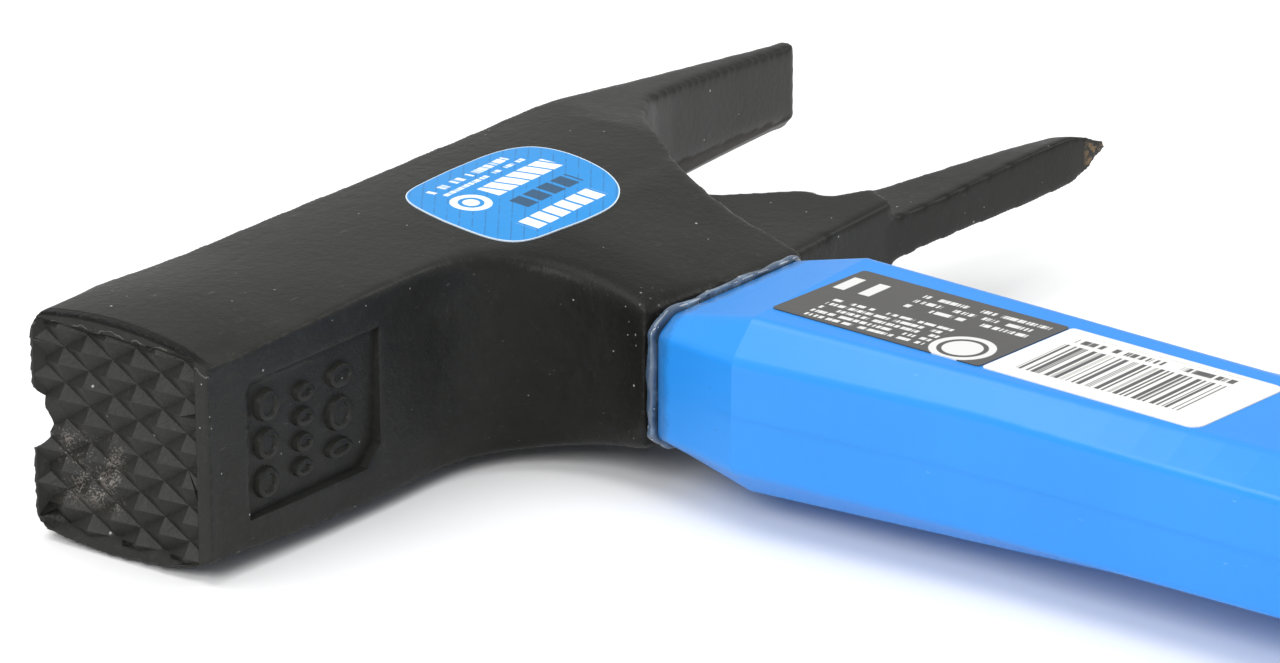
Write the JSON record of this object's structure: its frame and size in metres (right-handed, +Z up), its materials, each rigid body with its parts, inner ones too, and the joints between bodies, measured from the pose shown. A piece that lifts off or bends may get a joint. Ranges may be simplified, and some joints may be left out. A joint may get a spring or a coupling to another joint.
{
  "type": "roofing hammer",
  "caption": "Carpenter's roofing hammer with a toothed square face, nail groove, nail slot and side spike on a jacketed fibre handle with a soft grip.",
  "frame": {"origin": "under the middle of the whole tool's bounding box, on the surface that the hammer lies on", "axes": "+X from the striking face to the spike, +Y along the handle from the butt to the head, +Z up, out of the upper cheek of the lying hammer"},
  "size_m": [0.158, 0.33, 0.0304],
  "materials": {
    "forged_steel": "satin black lacquer over a forged skin, worn on the teeth",
    "magnet_metal": "nickel plated",
    "glass_fibre": "pultruded rod",
    "clear_resin": "glossy potting resin with small bubbles",
    "blue_plastic": "moulded, satin gloss",
    "grip_rubber": "fine matte grain",
    "blue_film": "printed film",
    "grey_film": "printed film",
    "white_film": "printed film"
  },
  "bodies": {
    "root": {"head": "forged_steel", "nail_magnet": "magnet_metal", "glass_fibre_core": "glass_fibre", "eye_resin": "clear_resin", "handle_jacket": "blue_plastic", "rubber_grip": "grip_rubber", "head_label": "blue_film", "care_label": "grey_film", "stock_label": "white_film"}
  },
  "joints": []
}
